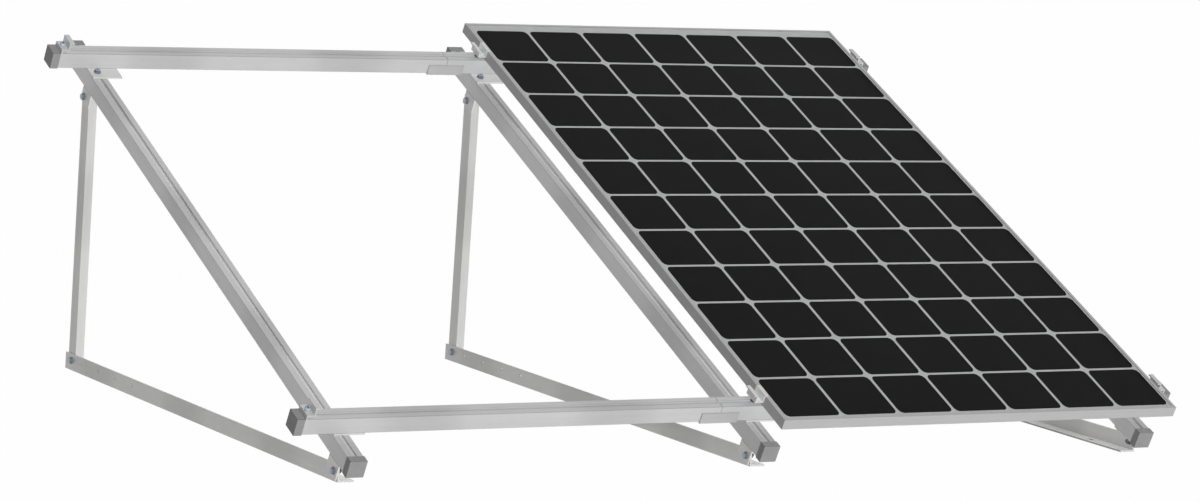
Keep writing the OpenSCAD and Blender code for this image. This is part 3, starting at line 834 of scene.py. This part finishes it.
@dataclass
class PanelClamps(Assembly):
    """End and mid clamps, sawn from extruded profiles.

    Attributes:
        mid_clamp_painted_light: Painted light on a mid clamp's face beside the bolt, as how much darker it
            is; below zero it is brighter.
        end_clamp_painted_light: The same for an end clamp.
        clamp_floor_painted_light: The same for a mid clamp's face under the bolt's head.
    """

    starts: tuple[str, ...] = ("lower_end_clamp", "lower_mid_clamp", "upper_end_clamp", "upper_mid_clamp")
    finish: str = "end_clamp_metal"
    edge: EdgeWork = EdgeWork(width=0.4)
    # Painted light on the clamp faces round the bolt
    mid_clamp_painted_light: float = -0.3
    end_clamp_painted_light: float = -0.12
    clamp_floor_painted_light: float = -0.2

    def finish_of(self, node: str) -> str:
        """Names the finish of an end or a mid clamp."""
        return "mid_clamp_metal" if "mid_clamp" in node else self.finish

    def painted_shading_of(self, node: str, face: BMFace, at: Vector) -> float | None:
        """Paints light on the faces round the bolt, as light from both sides would reach them.

        Args:
            node: The clamp's node.
            face: The face.
            at: Its middle, from the middle of the node's box.

        Returns:
            The painted shade, below zero painted light, or None to leave the face as it is.
        """
        is_mid = "mid_clamp" in node
        if face.normal.x < -ALONG and at.x > 0:
            return self.mid_clamp_painted_light if is_mid else self.end_clamp_painted_light
        if is_mid and face.normal.dot(SLOPE_UP) > ALONG and at.dot(SLOPE_UP) < 0:
            return self.clamp_floor_painted_light
        return None


@dataclass
class EndCaps(Assembly):
    """Moulded caps with rounded rims."""

    starts: tuple[str, ...] = ("lower_rail_cap_", "strut_cap_", "upper_rail_cap_")
    finish: str = "cap_plastic"
    edge: EdgeWork = EdgeWork(width=0.7, segments=3)
    slot: str = "cap"


@dataclass
class PanelFrame(Assembly):
    """The four mitred members of the panel's frame."""

    starts: tuple[str, ...] = ("panel_frame_",)
    finish: str = "frame_metal_slope"
    edge: EdgeWork = EdgeWork(width=0.4)
    slot: str = "panel_frame"

    def finish_of(self, node: str) -> str:
        """Names the finish drawn along the member."""
        return "frame_metal_rail" if node.endswith(("top", "bottom")) else self.finish


@dataclass
class PanelGlass(Assembly):
    """The front glass, with seamed edges and a hair's breadth over the cells.

    Attributes:
        lift: Gap between the glass and the cells under it, in mm.
    """

    starts: tuple[str, ...] = ("panel_glass",)
    finish: str = "panel_glass"
    edge: EdgeWork = EdgeWork(width=0.4, soil=0.0)
    slot: str = "glass"
    lift: float = 0.15

    def reshape(self, bm: BMesh) -> None:
        """Raises the underside off the cells.

        Args:
            bm: The glass's mesh.
        """
        heights = [v.co.dot(SLOPE_UP) for v in bm.verts]
        middle = (min(heights) + max(heights)) / 2
        for vert, height in zip(list(bm.verts), heights):
            if height < middle:
                vert.co += SLOPE_UP * self.lift * MM


@dataclass
class JunctionBox(Assembly):
    """The junction box under the panel."""

    starts: tuple[str, ...] = ("junction_box",)
    finish: str = "box_plastic"
    edge: EdgeWork = EdgeWork(width=0.6, segments=3)
    slot: str = "box"


@dataclass
class PlainSolids(Group):
    """CAD solids that are shown as they are: cells, rear sheet and the clamps' hidden T-nuts."""

    def build(self) -> None:
        """Dresses the solids."""
        self.dress("panel_cells", "silicon")
        self.dress("panel_rear_sheet", "rear_sheet")
        self.dress("clamp_t_nuts", "zinc")


@dataclass(frozen=True)
class Seat:
    """One fastener's place, read from its CAD solid.

    Attributes:
        start: Point on its axis at its low end, in metres.
        along: Unit direction of the axis.
        length: Length along the axis, in mm.
    """

    start: Vector
    along: Vector
    length: float

    def matrix(self) -> Matrix:
        """Returns the transform from a fastener drawn up the z axis in mm to its place."""
        turn = self.along.to_track_quat("Z", "Y").to_matrix().to_4x4()
        return Matrix.Translation(self.start) @ turn @ Matrix.Scale(MM, 4)

    def flipped(self) -> Seat:
        """Returns the same seat seen from its other end."""
        return Seat(self.start + self.along * self.length * MM, -self.along, self.length)


def join(bm: BMesh, part: BMesh, matrix: Matrix) -> None:
    """Moves a part and adds it to a mesh.

    Args:
        bm: Mesh that takes it.
        part: The part, which is freed.
        matrix: Where it goes.
    """
    bmesh.ops.transform(part, matrix=matrix, verts=part.verts)
    mesh = bpy.data.meshes.new("part")
    part.to_mesh(mesh)
    part.free()
    bm.from_mesh(mesh)
    bpy.data.meshes.remove(mesh)


def upside_down(height: float) -> Matrix:
    """Returns the transform that mirrors a part of a height top to bottom."""
    return Matrix.Translation(Vector((0.0, 0.0, height))) @ Matrix.Diagonal((1.0, 1.0, -1.0, 1.0))


@dataclass
class Fasteners(Group):
    """Bolts, nuts and rings with chamfered hexagons, coned flanges and real threads.

    Attributes:
        bolt_d: Outer diameter of the thread, in mm, as are all the lengths below.
        pitch: Pitch of the thread.
        thread_depth: Depth of the thread.
        thread_out: Thread beyond a nut.
        hex_af: Distance across the flats.
        nut_h: Height of nuts and heads.
        crown: Diameter of a hexagon's flat top, as a share of its flats.
        chamfer: Slope of a hexagon's chamfer, in degrees.
        flange_d: Diameter of the flange.
        flange_edge: Thickness of the flange at its edge.
        flange_rise: Height at which the flange's cone meets the hexagon.
        cone_wide: How much wider than the hexagon the cone is there.
        hex_sink: How deep the hexagon starts in the cone.
        bore_chamfer: Chamfer at a nut's bore.
        turned_edge: Chamfer of a flange's or ring's edge.
        ring_play: How much wider than the bolt a ring's bore is.
        socket_d: Diameter of a socket head.
        socket_h: Height of a socket head.
        socket_af: Distance across the flats of the socket.
        socket_depth: Depth of the socket.
        socket_edge: Chamfer of the socket head.
        socket_wide: How much wider the socket's mouth is.
        socket_lead: Depth of that mouth.
        lip_t: Thickness of a bar's lips, which a T-bolt's head holds.
        t_head_h: Thickness of a T-bolt's head.
        point: Radius that closes a flat face, and gap under a thread's tip.
        end_zone: How near an end its widest radius lies.
        around: Points round a circle.
        rim_painted_shade: Painted shade on chamfers and flange edges, how much darker they are.
        thread_painted_shade: The same painted shade for threads.
        panel_painted_shade: The same painted shade for the right support's pivot bolts, which lie in the
            panel's shade.
    """

    bolt_d: float = 8.0
    pitch: float = 1.25
    thread_depth: float = 0.65
    thread_out: float = 4.0
    hex_af: float = 13.0
    nut_h: float = 8.0
    crown: float = 0.97
    chamfer: float = 30.0
    flange_d: float = 17.9
    flange_edge: float = 1.2
    flange_rise: float = 2.6
    cone_wide: float = 0.4
    hex_sink: float = 0.2
    bore_chamfer: float = 0.6
    turned_edge: float = 0.3
    ring_play: float = 1.0
    socket_d: float = 13.0
    socket_h: float = 8.0
    socket_af: float = 6.0
    socket_depth: float = 4.0
    socket_edge: float = 0.7
    socket_wide: float = 0.8
    socket_lead: float = 0.5
    lip_t: float = 5.0
    t_head_h: float = 4.0
    point: float = 0.01
    end_zone: float = 1.5
    around: int = 36
    # Painted shade on rims, threads and the right support's pivot bolts
    rim_painted_shade: float = 0.72
    thread_painted_shade: float = 0.5
    panel_painted_shade: float = 0.75

    def build(self) -> None:
        """Builds every group of fasteners."""
        self.group("pivot_nuts", RAIL_WAY, self.draw_nut, finish="dark_zinc")
        self.group("pivot_bolts", RAIL_WAY, self.draw_pivot_bolt)
        self.group("t_bolt_nuts", SLOPE_UP, self.draw_nut)
        self.group("t_bolts", SLOPE_UP, self.draw_t_bolt)
        self.group("clamp_lock_nuts", SLOPE_UP, self.draw_nut, finish="dark_zinc")
        self.group("clamp_bolts", SLOPE_UP, self.draw_socket_bolt, wide_first=False)
        self.group("leg_spacers", RAIL_WAY, self.draw_ring)

    def group(self, node: str, axis: Vector, draw: Callable[[BMesh, float], None],
              wide_first: bool = True, finish: str = "zinc") -> None:
        """Builds one piece with all the fasteners of a CAD node.

        Args:
            node: The CAD node.
            axis: Direction of the fasteners' axes.
            draw: Draws one fastener of a given length up the z axis, in mm.
            wide_first: Whether the drawn fastener is widest at its start.
            finish: The fasteners' finish.
        """
        bm = bmesh.new()
        for seat in self.seats(self.nodes[node], axis, wide_first):
            part = bmesh.new()
            draw(part, seat.length)
            # The panel's shade is painted on the right support's pivot bolts
            if node == "pivot_bolts" and seat.start.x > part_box("base_rail_right")[0].x:
                self.shade(part)
            join(bm, part, seat.matrix())
        add_piece(node, bm, self.dress(node, finish))

    def shade(self, part: BMesh) -> None:
        """Paints shade over a whole fastener."""
        layer = painted_shading_layer(part)
        for face in part.faces:
            face[layer] = max(face[layer], self.panel_painted_shade)

    def seats(self, solid: Object, axis: Vector, wide_first: bool) -> list[Seat]:
        """Finds the seat of each separate solid of a node.

        Args:
            solid: The node's object.
            axis: Direction of the axes.
            wide_first: Whether a seat starts at a solid's wide end.

        Returns:
            One seat for each solid.
        """
        bm = bmesh.new()
        bm.from_mesh(solid.data)
        bmesh.ops.remove_doubles(bm, verts=bm.verts, dist=MERGE)
        left = set(bm.verts)
        found = []
        while left:
            island = [left.pop()]
            for vert in island:
                fresh = {v for edge in vert.link_edges for v in edge.verts} & left
                left -= fresh
                island += fresh
            found.append(self.seat([v.co.copy() for v in island], axis, wide_first))
        bm.free()
        return sorted(found, key=lambda seat: tuple(seat.start))

    def seat(self, points: list[Vector], axis: Vector, wide_first: bool) -> Seat:
        """Works out one solid's seat from its points.

        Args:
            points: Its vertices.
            axis: Direction of its axis.
            wide_first: Whether the seat starts at the wide end.

        Returns:
            The seat.
        """
        heights = [p.dot(axis) for p in points]
        low, high = min(heights), max(heights)
        flat = [p - axis * h for p, h in zip(points, heights)]
        middle = Vector([(min(c) + max(c)) / 2 for c in zip(*flat)])

        def widest(height: float) -> float:
            """Returns the widest radius near one end."""
            near = [f for f, h in zip(flat, heights) if abs(h - height) < self.end_zone * MM]
            return max((f - middle).length for f in near)

        start = Seat(middle + axis * low, axis, (high - low) / MM)
        return start if (widest(low) >= widest(high)) == wide_first else start.flipped()

    def loft(self, bm: BMesh, rings: Sequence[Sequence[Vector]], smooth: bool = True,
             rims: Sequence[int] = ()) -> None:
        """Joins rings of equal size with faces.

        Args:
            bm: Mesh that takes them.
            rings: Rings of points, in order.
            smooth: Whether the faces are shaded smooth.
            rims: Numbers of the bands that get the painted shade of edges.
        """
        layer = painted_shading_layer(bm)
        rows = [[bm.verts.new(p) for p in ring] for ring in rings]
        for band, (lower, upper) in enumerate(zip(rows, rows[1:])):
            for i in range(self.around):
                j = (i + 1) % self.around
                face = bm.faces.new((lower[i], lower[j], upper[j], upper[i]))
                face.smooth = smooth
                # Rim bands get painted shade
                face[layer] = self.rim_painted_shade if band in rims else 0.0

    def circles(self, *profile: Pair) -> list[list[Vector]]:
        """Returns circles with the radii and heights of a profile."""
        turns = [k * (2 * math.pi / self.around) for k in range(self.around)]
        return [[Vector((r * math.cos(turn), r * math.sin(turn), z)) for turn in turns] for r, z in profile]

    def hexagon(self, af: float, z: float, slope: float = 0.0) -> list[Vector]:
        """Returns points round a hexagon, as many as a circle has.

        Args:
            af: Distance across the flats.
            z: Height at the edge of its crown.
            slope: How steeply it falls outside the crown.

        Returns:
            The points.
        """
        points = []
        for k in range(self.around):
            angle = 2 * math.pi * k / self.around
            off = (angle + math.pi / 6) % (math.pi / 3) - math.pi / 6
            radius = af / 2 / math.cos(off)
            fall = (radius - af / 2 * self.crown) * slope
            points.append(Vector((radius * math.cos(angle), radius * math.sin(angle), z - fall)))
        return points

    def draw_hex(self, bm: BMesh, bore: float) -> None:
        """Draws a flanged hexagon up from z = 0 with a bore or a closed crown.

        Args:
            bm: Mesh that takes it.
            bore: Diameter of the bore, or 0 for a closed crown.
        """
        top, crown = self.nut_h, self.hex_af / 2 * self.crown
        outer, edge = self.flange_d / 2, self.turned_edge
        inner = bore / 2 + self.bore_chamfer if bore else self.point
        foot = self.hexagon(self.hex_af, self.flange_rise - self.hex_sink)
        chamfered = self.hexagon(self.hex_af, top, math.tan(math.radians(self.chamfer)))
        self.loft(bm, [
            *self.circles((inner, 0.0), (outer - edge, 0.0), (outer, edge), (outer, self.flange_edge)),
            self.hexagon(self.hex_af + self.cone_wide, self.flange_rise),
        ], rims=(1, 2, 3))
        self.loft(bm, [foot, chamfered], smooth=False, rims=(0,))
        self.loft(bm, [chamfered, *self.circles((crown, top))], smooth=False)
        self.loft(bm, self.circles((crown, top), (inner, top)), smooth=False)
        if bore:
            lead = self.bore_chamfer
            wall = self.circles((inner, top), (bore / 2, top - lead), (bore / 2, lead), (inner, 0.0))
            self.loft(bm, wall, rims=(0, 2))

    def draw_nut(self, bm: BMesh, length: float) -> None:
        """Draws a flange nut."""
        self.draw_hex(bm, self.bolt_d)

    def draw_thread(self, bm: BMesh, low: float, high: float) -> None:
        """Draws a thread as one helical surface with a chamfered tip.

        Args:
            bm: Mesh that takes it.
            low: Where it starts.
            high: Height of its tip.
        """
        layer = painted_shading_layer(bm)
        count = self.around
        rows = []
        for k in range(int(2 * (high - low) / self.pitch) + 3):
            row = []
            for i in range(count):
                z = low + (k / 2 - 1 + i / count) * self.pitch
                radius = self.bolt_d / 2 - (self.thread_depth if k % 2 else 0.0)
                radius = min(radius, self.bolt_d / 2 - self.thread_depth + max(0.0, high - z))
                z = min(max(z, low), high)
                angle = 2 * math.pi * i / count
                row.append(bm.verts.new((radius * math.cos(angle), radius * math.sin(angle), z)))
            rows.append(row)
        for k in range(len(rows) - 3):
            for i in range(count):
                lower, upper = rows[k], rows[k + 1]
                if i + 1 < count:
                    corners = (lower[i], lower[i + 1], upper[i + 1], upper[i])
                else:
                    corners = (lower[i], rows[k + 2][0], rows[k + 3][0], upper[i])
                face = bm.faces.new(corners)
                # Threads get painted shade
                face[layer] = self.thread_painted_shade
        root = self.bolt_d / 2 - self.thread_depth
        tip = high - self.point
        self.loft(bm, self.circles((root, tip), (self.point, tip)), smooth=False)

    def draw_shank(self, bm: BMesh, low: float, neck: float, tip: float) -> None:
        """Draws a plain shank and the thread beyond its neck."""
        self.loft(bm, self.circles((self.bolt_d / 2, low), (self.bolt_d / 2, neck)))
        self.draw_thread(bm, neck, tip)

    def draw_pivot_bolt(self, bm: BMesh, length: float) -> None:
        """Draws a flanged hexagon bolt with its head first.

        Args:
            bm: Mesh that takes it.
            length: Its whole length.
        """
        head = bmesh.new()
        self.draw_hex(head, 0.0)
        join(bm, head, upside_down(self.nut_h))
        self.draw_shank(bm, self.nut_h, length - self.thread_out - self.nut_h, length)

    def draw_t_bolt(self, bm: BMesh, length: float) -> None:
        """Draws a T-bolt's shank behind a bar's lips and its thread."""
        self.draw_shank(bm, self.t_head_h, self.t_head_h + self.lip_t, length)

    def draw_ring(self, bm: BMesh, length: float) -> None:
        """Draws a turned spacer ring.

        Args:
            bm: Mesh that takes it.
            length: Its height.
        """
        outer, inner = self.flange_d / 2, (self.bolt_d + self.ring_play) / 2
        edge = self.turned_edge
        self.loft(bm, self.circles(
            (inner, edge), (inner + edge, 0.0), (outer - edge, 0.0), (outer, edge),
            (outer, length - edge), (outer - edge, length), (inner + edge, length),
            (inner, length - edge), (inner, edge),
        ), rims=(0, 2, 4, 6))

    def draw_socket_bolt(self, bm: BMesh, length: float) -> None:
        """Draws a socket cap bolt with its tip first.

        Args:
            bm: Mesh that takes it.
            length: Its whole length.
        """
        head, floor = length - self.socket_h, length - self.socket_depth
        bolt, radius = self.bolt_d / 2, self.socket_d / 2
        low, edge = self.turned_edge, self.socket_edge
        mouth = self.hexagon(self.socket_af + self.socket_wide, length)
        side = self.circles((bolt, head), (radius - low, head), (radius, head + low),
                            (radius, length - edge), (radius - edge, length))
        self.loft(bm, [*side, mouth], rims=(1, 3))
        self.loft(bm, [
            mouth, self.hexagon(self.socket_af, length - self.socket_lead),
            self.hexagon(self.socket_af, floor), *self.circles((self.point, floor)),
        ], smooth=False, rims=(0, 1, 2))
        self.loft(bm, self.circles((bolt, head), (bolt - low, head - low)))
        thread = bmesh.new()
        self.draw_thread(thread, 0.0, head)
        join(bm, thread, upside_down(head))


@dataclass
class Studio:
    """Pale floor, soft lamps, plain sky and the photograph's camera.

    Attributes:
        camera_place: Camera position in metres.
        camera_turn: Camera rotation in degrees.
        focal: Focal length in pixels of the photograph.
        photo_w: Width of the photograph in pixels.
        sensor: Width of the camera's sensor in mm.
        view_depth: Nearest and farthest distance that the camera sees, in metres.
        floor_size: Side of the floor in metres.
        floor_tone: Brightness of the floor.
        sky: Strength of the sky on the object.
        sun: Strength of the soft front lamp.
        sun_from: Direction from the object to that lamp.
        back: Strength of the soft back lamp.
        back_from: Direction from the object to that lamp.
        spread: Apparent width of both lamps, in degrees.
        lamp_far: How far both lamps stand along their directions.
        white_share: Part of plain white in the floor as it is seen.
    """

    camera_place: Triple = (-5.426383, -9.074166, 1.776686)
    camera_turn: Triple = (82.49788, -3.87736, -30.30219)
    focal: float = 4403.375
    photo_w: float = 1200.0
    sensor: float = 36.0
    view_depth: Pair = (0.1, 1000.0)
    floor_size: float = 400.0
    floor_tone: float = 0.88
    sky: float = 0.22
    sun: float = 2.81
    sun_from: Triple = (0.0, -0.873, 0.195)
    back: float = 1.7
    back_from: Triple = (0.42, 0.9, -0.05)
    spread: float = 40.0
    lamp_far: float = 5.0
    white_share: float = 0.985

    def build(self) -> None:
        """Builds the whole stage."""
        self.make_floor()
        self.make_sky()
        self.make_lamp("front_lamp", self.sun, self.sun_from)
        self.make_lamp("back_lamp", self.back, self.back_from)
        self.make_camera()
        bpy.context.scene.view_settings.view_transform = "Standard"

    def shown(self, s: Shader, plain: Node, white: Node,
              share: float) -> Node:
        """Mixes in white for what the camera, gloss and clear pieces see.

        Args:
            s: Material or world builder.
            plain: Shader that lights and shades.
            white: Plain white emission.
            share: Part of the white that is shown.

        Returns:
            The mixed shader node.
        """
        path = s.add("LightPath")
        seen = path.outputs["Is Camera Ray"]
        for ray in ("Is Glossy Ray", "Is Transmission Ray"):
            seen = s.add("Math", {0: seen, 1: path.outputs[ray]}, operation="MAXIMUM").outputs[0]
        part = s.product(seen, share)
        return s.add("MixShader", {0: part, 1: plain.outputs[0], 2: white.outputs[0]})

    def make_floor(self) -> None:
        """Makes the pale floor."""
        bm = bmesh.new()
        bmesh.ops.create_grid(bm, x_segments=1, y_segments=1, size=self.floor_size / 2)
        s = Shader(bpy.data.materials.new("floor_paper"))
        plain = s.add("BsdfDiffuse", {"Color": (self.floor_tone,) * 3 + (1.0,)})
        white = s.add("Emission", {"Color": WHITE, "Strength": 1.0})
        place("floor", bm, s.finish(self.shown(s, plain, white, self.white_share)))

    def make_sky(self) -> None:
        """Makes the plain sky, white where it is seen."""
        s = Shader(bpy.data.worlds.new("sky"), "OutputWorld")
        plain = s.add("Background", {"Color": WHITE, "Strength": self.sky})
        white = s.add("Background", {"Color": WHITE, "Strength": 1.0})
        bpy.context.scene.world = s.finish(self.shown(s, plain, white, 1.0))

    def make_lamp(self, name: str, strength: float, source: Triple) -> None:
        """Makes a wide soft lamp that lights every face turned to it.

        Args:
            name: The lamp's name.
            strength: Its strength.
            source: Direction from the object to the lamp.
        """
        light = bpy.data.lights.new(name, "SUN")
        light.energy = strength
        light.angle = math.radians(self.spread)
        light.use_shadow = False
        lamp = bpy.data.objects.new(name, light)
        lamp.visible_glossy = False
        lamp.location = Vector(source) * self.lamp_far
        lamp.rotation_euler = Vector(source).to_track_quat("Z", "Y").to_euler()
        bpy.context.collection.objects.link(lamp)

    def make_camera(self) -> None:
        """Makes the camera of the photograph."""
        data = bpy.data.cameras.new("camera")
        data.sensor_fit = "HORIZONTAL"
        data.sensor_width = self.sensor
        data.lens = self.focal / self.photo_w * self.sensor
        data.clip_start, data.clip_end = self.view_depth
        camera = bpy.data.objects.new("camera", data)
        camera.location = self.camera_place
        camera.rotation_euler = Euler([math.radians(a) for a in self.camera_turn], "XYZ")
        bpy.context.collection.objects.link(camera)
        bpy.context.scene.camera = camera


def main() -> None:
    """Builds the dressed tilt frame and its stage."""
    logging.basicConfig(level=logging.INFO, format="%(name)s: %(message)s")
    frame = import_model()
    finishes = build_finishes()
    for group in (BaseRails, Legs, StrutBrackets, SlottedBars, JoiningPlates, PanelClamps, EndCaps,
                  PanelFrame, PanelGlass, JunctionBox, PlainSolids, Fasteners):
        group(finishes, frame["nodes"]).build()
    Studio().build()


if __name__ == "__main__":
    main()
